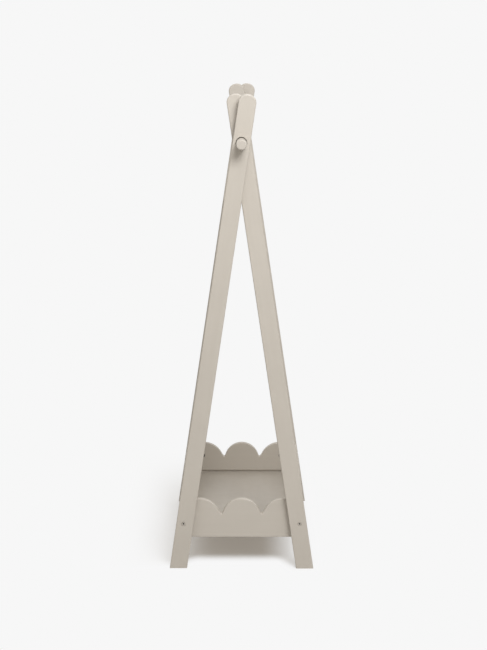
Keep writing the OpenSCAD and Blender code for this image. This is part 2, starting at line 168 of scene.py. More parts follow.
FACE_ON = 0.999                         # cosine between a face's normal and the way it looks

# ---- places worked out from the sizes --------------------------------------

PIVOT_H = TOTAL_H - LEG_HEAD
TILT = acos(LEG_W / 2 / hypot(PIVOT_H, FOOT_DEPTH / 2)) - atan2(PIVOT_H, FOOT_DEPTH / 2)
CROTCH_H = PIVOT_H - LEG_W / 2 / cos(TILT) / tan(TILT)
CROWN_TOP = hypot(LEG_W / 2 * sin(TILT), LEG_CROWN * cos(TILT))
LEG_UP = (TOTAL_H - PIVOT_H - CROWN_TOP) / cos(TILT) + LEG_CROWN
LEG_DOWN = (PIVOT_H + LEG_W) / cos(TILT)
BOLT_H = TRAY_BASE + BOLT_RISE
LEAN = atan((LEG_T + SEAT) / (CROTCH_H - BOLT_H))
INNER_FACE = FRAME_LEN / 2 - LEG_T
OUTER_LEG_X = FRAME_LEN / 2 - LEG_T / 2 + (PIVOT_H - BOLT_H) * tan(LEAN)

RAIL_H = PIVOT_H - RAIL_ROOM + SEAT
RAIL_HALF = OUTER_LEG_X + LEG_T / 2 + RAIL_STUB
PIN_X = INNER_FACE - PIN_D / 2 - PIN_GAP

TRAY_HALF = INNER_FACE - SEAT - BOLT_RISE * tan(LEAN)
SIDE_MID = (PIVOT_H - BOLT_H) * tan(TILT) + BOLT_OFFSET     # middle of the long boards
TRAY_HALF_W = SIDE_MID - SIDE_T / 2
END_HALF = TRAY_HALF_W - SEAT
END_MID = TRAY_HALF - END_T / 2                             # middle of the end boards
FLOOR_Z = TRAY_BASE + GROOVE_BASE + SEAT
GROOVE_H = FLOOR_T + 2 * SEAT + GROOVE_SLOT
SIDE_PITCH = 2 * (TRAY_HALF - TRAY_HALF_W + END_PITCH / 2) / SIDE_LOBES
DOWEL_HEIGHTS = (TRAY_BASE + GROOVE_BASE + GROOVE_H + DOWEL_D / 2 + DOWEL_ABOVE,
                 TRAY_BASE + TRAY_H - DOWEL_BELOW)
DOWEL_TIP = SIDE_MID + DOWEL_PAST
CAM_H = TRAY_BASE + CAM_RISE
CAM_DEPTH = END_T / 2 + CAM_ROD_D / 2 + CAM_PAST
BOLT_TIP = TRAY_HALF - NUT_INSET - NUT_D
BOLT_SEAT = FRAME_LEN / 2 - BOLT_HEAD_T - SEAT              # under a bolt's head

MIRROR_V = -(PIVOT_H - MIRROR_BASE) / cos(TILT)             # lower edge, up the slope from the pivot
BAR_BACK = BAR_T - BAR_FRONT
BAR_V = MIRROR_V + BAR_RAISE
BAR_Y = (BAR_BACK - BAR_FRONT) / 2
BAR_DOWELS = [BAR_V + BAR_W * share for share in BAR_DOWEL_SHARES]
BACK_FACE = BAR_FRONT + SEAT                                # rear face of the backboard
RECESS = GLASS_T + TAPE_T + 2 * SEAT - GLASS_PROUD
GLASS_W, GLASS_LEN = MIRROR_W - 2 * BORDER, MIRROR_LEN - 2 * BORDER
GLASS_ROUND = BACK_ROUND - BORDER / 2
BACK_SCREW = BACK_T - RECESS - SCREW_COVER
BRACKET_V = [MIRROR_V + MIRROR_LEN * (BRACKET_LOW + BRACKET_SPAN * i / (BRACKET_COUNT - 1))
             for i in range(BRACKET_COUNT)]

# diameters of the holes
RAIL_HOLE = RAIL_D + 2 * RAIL_ROOM
PIN_HOLE, DOWEL_HOLE, SCREW_HOLE = PIN_D + 2 * FIT, DOWEL_D + 2 * FIT, SCREW_D + 2 * FIT
NUT_HOLE, CAM_ROD_HOLE, CAM_HOLE = NUT_D + 2 * FIT, CAM_ROD_D + 2 * FIT, CAM_D + 2 * SEAT
BOLT_HOLE, HEAD_HOLE = BOLT_D + 4 * FIT, BOLT_HEAD_D + 2 * HEAD_ROOM

X, Y, Z = Vector((1, 0, 0)), Vector((0, 1, 0)), Vector((0, 0, 1))
OUT = Vector((0, cos(TILT), sin(TILT)))                     # out of the back legs' plane
UP = Vector((0, -sin(TILT), cos(TILT)))                     # up its slope
ENDS = ((-1, "left"), (1, "right"))


def leg_face(v):
    """Inner face of the right outer leg at a place up the slope, from the pivot."""
    return OUTER_LEG_X - LEG_T / 2 / cos(LEAN) + v * cos(TILT) * tan(LEAN)


MIRROR_MID = leg_face(MIRROR_V) - MIRROR_GAP - MIRROR_W / 2
BAR_SCREW_X = (MIRROR_MID - MIRROR_W / 4, MIRROR_MID + MIRROR_W / 4)


def on_back(x, out, v):
    """A point in the sloping plane of the back legs, in millimetres."""
    return Vector((0, 0, PIVOT_H)) + X * x + OUT * out + UP * v


def axes(place, x, y, z):
    """Placement whose local axes point along x, y and z, with place in millimetres."""
    turn = Matrix((x, y, z)).transposed().to_4x4()
    return Matrix.Translation(Vector(place) * MM) @ turn


def along(start, way):
    """Placement whose local Z runs along way from start, in millimetres."""
    turn = way.to_track_quat("Z", "Y").to_matrix().to_4x4()
    return Matrix.Translation(Vector(start) * MM) @ turn


def turned(angle, axis):
    return Matrix.Rotation(angle, 4, axis)


# ---- outlines and profiles -------------------------------------------------

def arc(cx, cy, r, start, end, step=3):
    """Points of an arc, in degrees, both ends included."""
    count = max(2, round(abs(end - start) / step))
    turns = [radians(start + (end - start) * i / count) for i in range(count + 1)]
    return [(cx + r * cos(t), cy + r * sin(t)) for t in turns]


def rectangle(x0, y0, x1, y1):
    return [(x0, y0), (x1, y0), (x1, y1), (x0, y1)]


def round_rect(w, h, r):
    """Outline of a rectangle with round corners, centred."""
    points = []
    for k, (sx, sy) in enumerate(((1, -1), (1, 1), (-1, 1), (-1, -1))):
        points += arc(sx * (w / 2 - r), sy * (h / 2 - r), r, 90 * k - 90, 90 * k, 7.5)
    return points


def rim(r, ease, face, steps, way=1):
    """Quarter round from a wall of radius r to the face at its end; with ease below zero it flares."""
    turns = [radians(90 * k / steps) for k in range(steps + 1)]
    return [(r - ease * (1 - cos(t)), face - way * abs(ease) * (1 - sin(t))) for t in turns]


def rod_profile(end, half):
    """Profile of a rod with equal ends; end runs from its wall to its face."""
    return [(0, -half)] + [(r, -z) for r, z in end[::-1]] + end + [(0, half)]


def counter_clockwise(points):
    area = sum(a[0] * b[1] - b[0] * a[1] for a, b in zip(points, points[1:] + points[:1]))
    return points if area > 0 else points[::-1]


def mitres(points):
    """Outward direction of every corner of an outline, long enough to move its edges by 1."""
    ways = []
    for before, here, after in zip(points[-1:] + points[:-1], points, points[1:] + points[:1]):
        a = Vector((here[1] - before[1], before[0] - here[0])).normalized()
        b = Vector((after[1] - here[1], here[0] - after[0])).normalized()
        ways.append((a + b) / (1 + a.dot(b)))
    return ways


# ---- mesh making -----------------------------------------------------------

def new_object(name, data, place=None):
    obj = bpy.data.objects.new(name, data)
    bpy.context.scene.collection.objects.link(obj)
    if place is not None:
        obj.matrix_world = place
    return obj


def from_bmesh(name, bm, place=None):
    mesh = bpy.data.meshes.new(name)
    bm.to_mesh(mesh)
    bm.free()
    return new_object(name, mesh, place)


def slab(name, outline, thickness, ease, place, steps=4):
    """A board: outline in the local Y-Z plane, thickness along X, every edge eased by a quarter round."""
    points = counter_clockwise(list(outline))
    ways = mitres(points)
    edge = rim(0, ease, thickness / 2, steps)
    levels = [(-x, grow) for grow, x in edge[::-1]] + [(x, grow) for grow, x in edge]
    bm = bmesh.new()
    loops = [[bm.verts.new(Vector((x, p[0] + w.x * grow, p[1] + w.y * grow)) * MM)
              for p, w in zip(points, ways)] for x, grow in levels]
    bm.faces.new(loops[0][::-1])
    bm.faces.new(loops[-1])
    for low, high in zip(loops, loops[1:]):
        for i, corner in enumerate(low):
            j = (i + 1) % len(low)
            bm.faces.new((corner, low[j], high[j], high[i]))
    bmesh.ops.recalc_face_normals(bm, faces=bm.faces)
    return from_bmesh(name, bm, place)


def lathe(name, profile, place, segments=64):
    """Turned shape: profile of (radius, distance along local Z), closed at both ends on the axis."""
    bm = bmesh.new()
    rings = []
    for r, z in profile:
        if r == 0:
            rings.append([bm.verts.new((0, 0, z * MM))])
        else:
            rings.append([bm.verts.new((r * MM * cos(2 * pi * i / segments),
                                        r * MM * sin(2 * pi * i / segments), z * MM))
                          for i in range(segments)])
    for low, high in zip(rings, rings[1:]):
        for i in range(segments):
            j = (i + 1) % segments
            quad = [low[i % len(low)], low[j % len(low)], high[j % len(high)], high[i % len(high)]]
            corners = list(dict.fromkeys(quad))
            if len(corners) > 2:
                bm.faces.new(corners)
    bmesh.ops.recalc_face_normals(bm, faces=bm.faces)
    return from_bmesh(name, bm, place)


def bore(d, start, end, start_rim=0.0, end_rim=0.0, segments=48):
    """A drill from start to end, flared by a rim where it leaves a face."""
    start, end = Vector(start), Vector(end)
    r, length = d / 2, (end - start).length
    if start_rim:
        profile = [(0, -OVERRUN), (r + start_rim, -OVERRUN)] + rim(r, -start_rim, 0, 4, -1)[::-1]
    else:
        profile = [(0, 0), (r, 0)]
    if end_rim:
        profile += rim(r, -end_rim, length, 4) + [(r + end_rim, length + OVERRUN), (0, length + OVERRUN)]
    else:
        profile += [(r, length), (0, length)]
    return lathe("drill", profile, along(start, end - start), segments)


def block(low, high):
    """A cutting box between two corners, in millimetres."""
    bm = bmesh.new()
    bmesh.ops.create_cube(bm, size=1)
    for v in bm.verts:
        v.co = Vector([(a + b) / 2 + (b - a) * c for a, b, c in zip(low, high, v.co)]) * MM
    return from_bmesh("block", bm)


def cut(obj, tools, materials="INDEX"):
    """Takes the tools out of obj and removes them."""
    for tool in tools:
        mod = obj.modifiers.new("cut", "BOOLEAN")
        mod.operation = "DIFFERENCE"
        mod.solver = "EXACT"
        mod.material_mode = materials
        mod.object = tool
    bpy.context.view_layer.update()
    whole = obj.evaluated_get(bpy.context.evaluated_depsgraph_get())
    mesh = bpy.data.meshes.new_from_object(whole)
    obj.modifiers.clear()
    old, obj.data = obj.data, mesh
    mesh.name = obj.name
    bpy.data.meshes.remove(old)
    for tool in tools:
        bpy.data.meshes.remove(tool.data)


def saw(obj, place, way):
    """Cuts off what lies beyond a plane, given in millimetres, and closes the cut."""
    into = obj.matrix_world.inverted()
    bm = bmesh.new()
    bm.from_mesh(obj.data)
    bmesh.ops.bisect_plane(bm, geom=bm.verts[:] + bm.edges[:] + bm.faces[:], dist=1e-7,
                           plane_co=into @ (place * MM), plane_no=into.to_3x3() @ way, clear_outer=True)
    bmesh.ops.holes_fill(bm, edges=[e for e in bm.edges if e.is_boundary], sides=0)
    bmesh.ops.recalc_face_normals(bm, faces=bm.faces)
    bm.to_mesh(obj.data)
    bm.free()


def join(name, objects):
    """One object made of several, with their materials kept apart."""
    materials = []
    bm = bmesh.new()
    for obj in objects:
        mesh = obj.data.copy()
        mesh.transform(obj.matrix_world)
        materials += [m for m in dict.fromkeys(mesh.materials) if m not in materials]
        slots = [materials.index(m) for m in mesh.materials]
        for polygon in mesh.polygons:
            polygon.material_index = slots[polygon.material_index]
        bm.from_mesh(mesh)
        bpy.data.meshes.remove(mesh)
        bpy.data.meshes.remove(obj.data)
    whole = from_bmesh(name, bm)
    for material in materials:
        whole.data.materials.append(material)
    return whole


def finish_piece(obj, node, material=None, body="frame", crease=CREASE):
    """Finishes a piece: its own coordinates kept as an attribute, its mesh in the shared frame."""
    own = obj.data.attributes.new("board", "FLOAT_VECTOR", "POINT")
    own.data.foreach_set("vector", [c for v in obj.data.vertices for c in v.co])
    obj.data.transform(obj.matrix_world)
    obj.matrix_world = Matrix()
    if material:
        obj.data.materials.clear()
        obj.data.materials.append(material)
    obj.data.shade_smooth()
    obj.data.set_sharp_from_angle(angle=radians(crease))
    flat = obj.modifiers.new("flat faces", "WEIGHTED_NORMAL")
    flat.keep_sharp = True
    flat.weight = FLAT_WEIGHT
    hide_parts(node)
    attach(obj, body)


# ---- materials -------------------------------------------------------------

PAINT = (0.538, 0.492, 0.425)
ZINC = (0.52, 0.53, 0.55)
# near-black zinc for the cam locks, darkened so that they read dark in their recesses: painted shade on
# top of their own tone
CAM = (0.16, 0.155, 0.15)
BIRCH = (0.66, 0.50, 0.33)
# near-black paint for a bolt socket's bottom: painted shade in the recess
SOCKET = (0.035, 0.033, 0.030)
SILVER = (0.88, 0.91, 0.91)
GLASS_EDGE = (0.30, 0.42, 0.38)
TAPE = (0.016, 0.016, 0.017)
STREAK = (0.975, 0.972, 0.968)          # what a streak of grain does to the paint
FAC_LOW, FAC_HIGH = 0.3, 0.7            # the part of a noise's range that tones and roughness use


def add_node(tree, kind, inputs=None, **settings):
    """A shader node with its settings; each input is linked to a socket or set to a plain value."""
    node = tree.nodes.new(kind)
    for key, value in settings.items():
        setattr(node, key, value)
    for key, value in (inputs or {}).items():
        if isinstance(value, bpy.types.NodeSocket):
            tree.links.new(value, node.inputs[key])
        else:
            node.inputs[key].default_value = value
    return node


class Finish:
    """A procedural material: a Principled shader with helpers for its noises, tones and bumps."""

    def __init__(self, name, roughness, metallic=0.0, own=True):
        """With own, the material follows the piece's own coordinates, or else the shared frame's."""
        self.material = bpy.data.materials.new(name)
        self.material.use_nodes = True
        self.tree = self.material.node_tree
        self.shader = self.tree.nodes["Principled BSDF"]
        self.shader.inputs["Roughness"].default_value = roughness
        self.shader.inputs["Metallic"].default_value = metallic
        if own:
            source = add_node(self.tree, "ShaderNodeAttribute", attribute_name="board")
            self.place = source.outputs["Vector"]
        else:
            self.place = add_node(self.tree, "ShaderNodeTexCoord").outputs["Object"]

    def noise(self, scale, detail=2.0, stretch=(1, 1, 1)):
        """Noise with scale features to the metre, drawn out along an axis where stretch is small."""
        spread = add_node(self.tree, "ShaderNodeMapping", {"Vector": self.place, "Scale": stretch})
        return add_node(self.tree, "ShaderNodeTexNoise", {
            "Vector": spread.outputs["Vector"], "Scale": scale, "Detail": detail}).outputs["Fac"]

    def tone(self, fac, dark, light):
        """Colours between dark and light, as fac goes over the middle of its range."""
        ramp = add_node(self.tree, "ShaderNodeValToRGB", {"Fac": fac})
        for element, place, colour in zip(ramp.color_ramp.elements, (FAC_LOW, FAC_HIGH), (dark, light)):
            element.position = place
            element.color = (*colour, 1)
        return ramp.outputs["Color"]

    def tinted(self, first, second):
        """The two colours multiplied."""
        mix = add_node(self.tree, "ShaderNodeMix", {"Factor": 1.0, "A": first, "B": second},
                       data_type="RGBA", blend_type="MULTIPLY")
        return mix.outputs["Result"]

    def between(self, fac, low, high):
        """A number from low to high, as fac goes over the middle of its range."""
        return add_node(self.tree, "ShaderNodeMapRange", {
            "Value": fac, "From Min": FAC_LOW, "From Max": FAC_HIGH,
            "To Min": low, "To Max": high}).outputs["Result"]

    def bump(self, *layers):
        """Bumps one over the other; each layer is a noise and its height in millimetres."""
        below = None
        for fac, height in layers:
            inputs = {"Distance": height * MM, "Height": fac}
            if below:
                inputs["Normal"] = below
            below = add_node(self.tree, "ShaderNodeBump", inputs).outputs["Normal"]
        self.tree.links.new(below, self.shader.inputs["Normal"])

    def colour(self, socket):
        self.tree.links.new(socket, self.shader.inputs["Base Color"])

    def roughness(self, socket):
        self.tree.links.new(socket, self.shader.inputs["Roughness"])


def shade(colour, factor):
    return tuple(c * factor for c in colour)


def satin(name, colour):
    """Sprayed satin paint over sanded wood: fine peel, and a grain that just telegraphs through."""
    f = Finish(name, 0.45)
    cloud = f.tone(f.noise(7, detail=3), shade(colour, 0.985), shade(colour, 1.015))
    grain = f.noise(95, detail=4, stretch=(1, 1, 0.05))
    streaks = f.tone(grain, STREAK, WHITE)
    f.colour(f.tinted(cloud, streaks))
    f.roughness(f.between(f.noise(38, detail=3), 0.41, 0.50))
    f.bump((grain, 0.05), (f.noise(260), 0.05), (f.noise(1300), 0.015))
    return f.material


def zinc(name, colour, low, high):
    """Zinc plate: mottled, with fine rolled lines."""
    f = Finish(name, low, metallic=1.0, own=False)
    f.colour(f.tone(f.noise(420, detail=4), shade(colour, 0.86), shade(colour, 1.1)))
    f.roughness(f.between(f.noise(900, detail=3), low, high))
    f.bump((f.noise(2600, stretch=(1, 1, 0.08)), 0.01))
    return f.material


def birch(name, stretch):
    """Bare birch dowel, its grain drawn out by stretch."""
    f = Finish(name, 0.62, own=False)
    fibres = f.noise(900, detail=4, stretch=stretch)
    f.colour(f.tone(fibres, shade(BIRCH, 0.78), shade(BIRCH, 1.12)))
    f.roughness(f.between(f.noise(500), 0.55, 0.7))
    f.bump((fibres, 0.06))
    return f.material


def mirror_face():
    """Silvered glass, seen from the front."""
    f = Finish("silvered_glass", 0.01, metallic=1.0)
    f.colour(f.tone(f.noise(5), shade(SILVER, 0.985), SILVER))
    f.roughness(f.between(f.noise(30, detail=4), 0.004, 0.02))
    return f.material


def glass_edge():
    """The pane's ground, greenish edge."""
    f = Finish("ground_edge", 0.2)
    f.colour(f.tone(f.noise(60), shade(GLASS_EDGE, 0.9), shade(GLASS_EDGE, 1.1)))
    f.roughness(f.between(f.noise(700), 0.12, 0.3))
    f.shader.inputs["Coat Weight"].default_value = 0.5
    return f.material


def foam():
    """Black foam tape."""
    f = Finish("foam_tape", 0.9, own=False)
    cells = f.noise(1500, detail=3)
    f.colour(f.tone(cells, shade(TAPE, 0.6), shade(TAPE, 1.8)))
    f.bump((cells, 0.1))
    return f.material


def painted_socket_shade():
    """Near-black paint at the bottom of a bolt's socket: painted shade in the recess."""
    f = Finish("socket_shade", 0.6)
    f.colour(f.tone(f.noise(1500), shade(SOCKET, 0.8), shade(SOCKET, 1.3)))
    return f.material


wood = satin("satin_paint", PAINT)
# the rail, the tray floor and the bolt heads take slightly darker copies of the board paint
rail_paint = satin("satin_rail_paint", shade(PAINT, 0.94))
floor_paint = satin("satin_tray_floor", shade(PAINT, 0.9))
bolt_paint = satin("satin_bolt_paint", shade(PAINT, 0.97))
birch_up = birch("birch_upright", (1, 1, 0.04))
steel = zinc("zinc_plate", ZINC, 0.28, 0.42)
cast = zinc("cam_zinc", CAM, 0.4, 0.55)
silver, edge_glass, tape, dark = mirror_face(), glass_edge(), foam(), painted_socket_shade()


# ---- legs ------------------------------------------------------------------

def leg_outline():
    """A leg board with its elliptical top, measured from the pivot."""
    crown_base = LEG_UP - LEG_CROWN
    crown = [(LEG_W / 2 * x, crown_base + LEG_CROWN * y) for x, y in arc(0, 0, 1, 0, 180, 5)]
    return [(-LEG_W / 2, -LEG_DOWN), (LEG_W / 2, -LEG_DOWN)] + crown


def leg(name, side, outer):
    """One leg board, sawn level at the ground; side is -1 at the left and 1 at the right."""
    if outer:
        middle, foot, turn = OUTER_LEG_X, 1, turned(side * LEAN, "Y") @ turned(TILT, "X")
    else:
        middle, foot, turn = INNER_FACE + LEG_T / 2, -1, turned(-TILT, "X")
    place = Matrix.Translation(Vector((side * middle, 0, PIVOT_H)) * MM) @ turn
    obj = slab(name + "_board", leg_outline(), LEG_T, LEG_ROUND, place, steps=5)
    saw(obj, Vector(), -Z)
    half = (LEG_T / cos(LEAN) if outer else LEG_T) / 2
    bolt_y = foot * SIDE_MID
    tools = [bore(RAIL_HOLE, (side * (middle - half), 0, PIVOT_H), (side * (middle + half), 0, PIVOT_H),
                  RAIL_HOLE_RIM, RAIL_HOLE_RIM, RAIL_SEGMENTS),
             bore(BOLT_HOLE, (side * (INNER_FACE - LEG_T), bolt_y, BOLT_H),
                  (side * (BOLT_SEAT + OVER), bolt_y, BOLT_H)),
             bore(HEAD_HOLE, (side * (BOLT_SEAT - SEAT), bolt_y, BOLT_H),
                  (side * FRAME_LEN / 2, bolt_y, BOLT_H), end_rim=HEAD_HOLE_RIM)]
    if outer:
        for v in BAR_DOWELS:
            tools.append(bore(DOWEL_HOLE, on_back(side * (leg_face(v) - OVER), -BAR_Y, v),
                              on_back(side * (leg_face(v) + BAR_DOWEL_IN + SEAT), -BAR_Y, v)))
    cut(obj, tools)
    finish_piece(obj, name, wood)


for side, end in ENDS:
    leg(end + "_outer_leg", side, True)
    leg(end + "_inner_leg", side, False)


# ---- rail ------------------------------------------------------------------

def rail():
    """The round rail, with soft ends and a hole for each stop pin."""
    profile = rod_profile(rim(RAIL_D / 2, RAIL_ROUND, RAIL_HALF, 6), RAIL_HALF)
    obj = lathe("rail_rod", profile, axes((0, 0, RAIL_H), Y, Z, X), RAIL_SEGMENTS)
    cut(obj, [bore(PIN_HOLE, (side * PIN_X, 0, RAIL_H - RAIL_D), (side * PIN_X, 0, RAIL_H + RAIL_D))
              for side in (-1, 1)])
    finish_piece(obj, "hanging_rail", rail_paint, "rail")


rail()


# ---- tray ------------------------------------------------------------------

def scallops(half, lobes, pitch):
    """Scalloped outline, from the middle of the lower edge: full lobes and a wide lobe at each corner."""
    edge = lobes * pitch / 2
    gap = VALLEY_R * LOBE_GAP
    lobe_r = pitch / 2 - 2 * gap
    corner_x = edge + CORNER_R + gap
    shoulder = TRAY_H - SCALLOP_DEPTH + VALLEY_R

    def rise(r):
        """Where a lobe leaves its valley, in degrees."""
        return degrees(asin((shoulder - TRAY_H + r) / r)) + LOBE_CUT

    right = arc(corner_x, TRAY_H - CORNER_R, CORNER_R,
                degrees(acos(min(1, (half - corner_x) / CORNER_R))), 180 - rise(CORNER_R))
    top = right[:]
    for i in range(lobes, -1, -1):
        top += arc(i * pitch - edge, shoulder, VALLEY_R, *VALLEY_ARC)
        if i:
            top += arc((i - 0.5) * pitch - edge, TRAY_H - lobe_r, lobe_r, rise(lobe_r), 180 - rise(lobe_r))
    top += [(-x, y) for x, y in right[::-1]]
    return [(-half, 0), (half, 0)] + top


def end_panel(name, side):
    """An end board, with its groove and the holes for cam locks and dowels."""
    outline = [(z, y) for y, z in scallops(END_HALF, 1, END_PITCH)]
    x = side * END_MID
    obj = slab(name + "_board", outline, END_T, TRAY_EASE, axes((x, 0, TRAY_BASE), -X, Z, Y))
    inner = side * (TRAY_HALF - END_T)
    lip = GROOVE_BASE + GROOVE_H
    groove = [(-GROOVE_D, GROOVE_BASE), (OVERRUN, GROOVE_BASE), (OVERRUN, lip + LIP_ROUND)]
    groove += arc(-LIP_ROUND, lip + LIP_ROUND, LIP_ROUND, 0, -90, 15) + [(-GROOVE_D, lip)]
    tools = [slab("groove", groove, 2 * (TRAY_HALF_W + OVERRUN), SHARP,
                  axes((inner, 0, TRAY_BASE), Y * side, -X * side, Z), steps=1)]
    for back in (-1, 1):
        y, mouth = back * (END_HALF - CAM_INSET), back * TRAY_HALF_W
        tools.append(bore(CAM_HOLE, (inner + side * (CAM_DEPTH + SEAT), y, CAM_H), (inner, y, CAM_H),
                          end_rim=TRAY_HOLE_RIM))
        tools.append(bore(CAM_ROD_HOLE, (x, y, CAM_H), (x, mouth, CAM_H)))
        for z in DOWEL_HEIGHTS:
            tools.append(bore(DOWEL_HOLE, (x, back * (DOWEL_TIP - DOWEL_LEN - SEAT), z), (x, mouth, z)))
    cut(obj, tools)
    finish_piece(obj, name, wood)


def long_side(name, back):
    """A long board, with its groove and the holes for bolts, nuts and dowels; back is -1 at the front."""
    outline = [(z, x) for x, z in scallops(TRAY_HALF, SIDE_LOBES, SIDE_PITCH)]
    y = back * SIDE_MID
    obj = slab(name + "_board", outline, SIDE_T, TRAY_EASE, axes((0, y, TRAY_BASE), Y, Z, X))
    inner = back * TRAY_HALF_W
    mouth = inner - back * OVER
    groove_y = sorted((mouth, inner + back * GROOVE_D))
    groove_z = TRAY_BASE + GROOVE_BASE
    tools = [block((-TRAY_HALF - OVERRUN, groove_y[0], groove_z),
                   (TRAY_HALF + OVERRUN, groove_y[1], groove_z + GROOVE_H))]
    for side in (-1, 1):
        x, nut_x = side * END_MID, side * (TRAY_HALF - NUT_INSET)
        tools.append(bore(BOLT_HOLE, (side * (BOLT_TIP - SEAT), y, BOLT_H),
                          (side * (TRAY_HALF + OVER), y, BOLT_H)))
        tools.append(bore(NUT_HOLE, (nut_x, back * (SIDE_MID + NUT_LEN / 2 + SEAT), BOLT_H),
                          (nut_x, inner, BOLT_H), end_rim=TRAY_HOLE_RIM))
        tools.append(bore(CAM_ROD_HOLE, (x, mouth, CAM_H),
                          (x, back * (TRAY_HALF_W + CAM_ROD_IN + SEAT), CAM_H)))
        for z in DOWEL_HEIGHTS:
            tools.append(bore(DOWEL_HOLE, (x, mouth, z), (x, back * (DOWEL_TIP + SEAT), z)))
    cut(obj, tools)
    finish_piece(obj, name, wood)


def tray_floor():
    """The floor board, in the grooves of all four sides."""
    half_x, half_y = TRAY_HALF - END_T + GROOVE_D - SEAT, TRAY_HALF_W + GROOVE_D - SEAT
    obj = slab("tray_floor_board", rectangle(-half_y, -half_x, half_y, half_x), FLOOR_T, FLOOR_EASE,
               axes((0, 0, FLOOR_Z + FLOOR_T / 2), Z, -Y, X), steps=3)
    finish_piece(obj, "tray_floor", floor_paint)


for side, end in ENDS:
    end_panel(end + "_end_panel", side)
long_side("tray_front_side", -1)
long_side("tray_back_side", 1)
tray_floor()


# ---- mirror ----------------------------------------------------------------

def crossbar():
    """The bar between the outer legs, sawn to their lean at both ends."""
    top_half = leg_face(BAR_V + BAR_W)
    obj = slab("mirror_crossbar_board", rectangle(0, -top_half - OVERRUN, BAR_W, top_half + OVERRUN),
               BAR_T, LEG_ROUND, axes(on_back(0, -BAR_Y, BAR_V), OUT, UP, X))
    for side in (-1, 1):
        foot = on_back(side * (leg_face(BAR_V) - SEAT), 0, BAR_V)
        head = on_back(side * (top_half - SEAT), 0, BAR_V + BAR_W)
        saw(obj, foot, (head - foot).cross(OUT).normalized() * -side)
    tools = []
    for v in BAR_DOWELS:
        for side in (-1, 1):
            dowel_end = leg_face(v) + BAR_DOWEL_IN - DOWEL_LEN - SEAT
            tools.append(bore(DOWEL_HOLE, on_back(side * dowel_end, -BAR_Y, v),
                              on_back(side * (top_half + OVER), -BAR_Y, v)))
    for x in BAR_SCREW_X:
        v = BAR_V + BAR_W / 2
        tools.append(bore(SCREW_HOLE, on_back(x, BAR_FRONT + OVER, v), on_back(x, -BAR_BACK - OVER, v),
                          segments=SMALL_SEGMENTS))
    cut(obj, tools)
    finish_piece(obj, "mirror_crossbar", wood)


def mirror():
    """The backboard with its recess, and the pane of glass in it."""
    def level(out):
        return axes(on_back(MIRROR_MID, BACK_FACE + out, MIRROR_V + MIRROR_LEN / 2), OUT, -X, UP)

    obj = slab("mirror_backboard_board", round_rect(MIRROR_W, MIRROR_LEN, BACK_ROUND), BACK_T, BACK_EASE,
               level(BACK_T / 2), steps=5)
    pocket = round_rect(GLASS_W + 2 * SEAT, GLASS_LEN + 2 * SEAT, GLASS_ROUND)
    cut(obj, [slab("pocket", pocket, 2 * RECESS, SHARP, level(BACK_T), steps=1)])
    finish_piece(obj, "mirror_backboard", wood)
    glass = slab("mirror_pane", round_rect(GLASS_W, GLASS_LEN, GLASS_ROUND - SEAT), GLASS_T, GLASS_EASE,
                 level(BACK_T - RECESS + 2 * SEAT + TAPE_T + GLASS_T / 2), steps=3)
    finish_piece(glass, "mirror_glass", silver)
    glass.data.materials.append(edge_glass)
    for polygon in glass.data.polygons:
        polygon.material_index = 0 if polygon.normal.dot(OUT) > FACE_ON else 1


crossbar()
mirror()


# ---- fittings --------------------------------------------------------------

def screw(start, way, length):
    """A wood screw: domed head behind start with a cross recess, shank along way."""
    r, shank = SCREW_D, SCREW_D / 2
    crown = -SCREW_EDGE - SCREW_DOME
    dome = [(r * cos(radians(a)), -SCREW_EDGE - SCREW_DOME * sin(radians(a))) for a in DOME_TURNS]
    profile = [(0, length), (SCREW_TIP_R, length - SCREW_TIP), (shank, length - SCREW_POINT),
               (shank, 0), (r, 0)] + dome + [(0, crown)]
    place = along(start, way)
    obj = lathe("screw", profile, place, SMALL_SEGMENTS)
    obj.data.materials.append(steel)
    blades = []
    for turn in (0, 90):
        blade = block((-CROSS_LEN / 2, -CROSS_W / 2, crown - OVER),
                      (CROSS_LEN / 2, CROSS_W / 2, -CROSS_FLOOR))
        blade.matrix_world = place @ turned(radians(turn), "Z")
        blades.append(blade)
    cut(obj, blades)
    return obj


def bracket(v):
    """A bent steel angle at the inner face of the right outer leg, and its two screws."""
    corner = on_back(leg_face(v) - SEAT, 0, v)
    across, upward = X * cos(LEAN) - UP * sin(LEAN), X * sin(LEAN) + UP * cos(LEAN)
    near, t = BACK_FACE - SEAT, BRACKET_T
    outline = [(-BRACKET_REACH, near - t), (-BRACKET_REACH, near)]
    outline += arc(-BEND_OUTSIDE, near - BEND_OUTSIDE, BEND_OUTSIDE, 90, 0, 15)
    outline += [(0, near - BRACKET_ARM), (-t, near - BRACKET_ARM)]
    outline += arc(-t - BEND_INSIDE, near - t - BEND_INSIDE, BEND_INSIDE, 0, 90, 15)
    obj = slab("angle", outline, BRACKET_W, BRACKET_EASE, axes(corner, upward, across, OUT), steps=2)
    obj.data.materials.append(steel)
    board_hole = corner + across * (BRACKET_END - BRACKET_REACH)
    leg_hole = corner + OUT * -(BRACKET_ARM - BRACKET_END - BACK_FACE + t)
    cut(obj, [bore(SCREW_HOLE, board_hole + OUT * (near - t - OVER), board_hole + OUT * (near + OVER),
                   segments=SMALL_SEGMENTS),
              bore(SCREW_HOLE, leg_hole - across * (t + OVER), leg_hole + across * OVER,
                   segments=SMALL_SEGMENTS)])
    return obj, [screw(board_hole + OUT * (near - t - SEAT), OUT, t + 2 * SEAT + BACK_SCREW),
                 screw(leg_hole - across * (t + SEAT), across, t + 2 * SEAT + LEG_SCREW)]


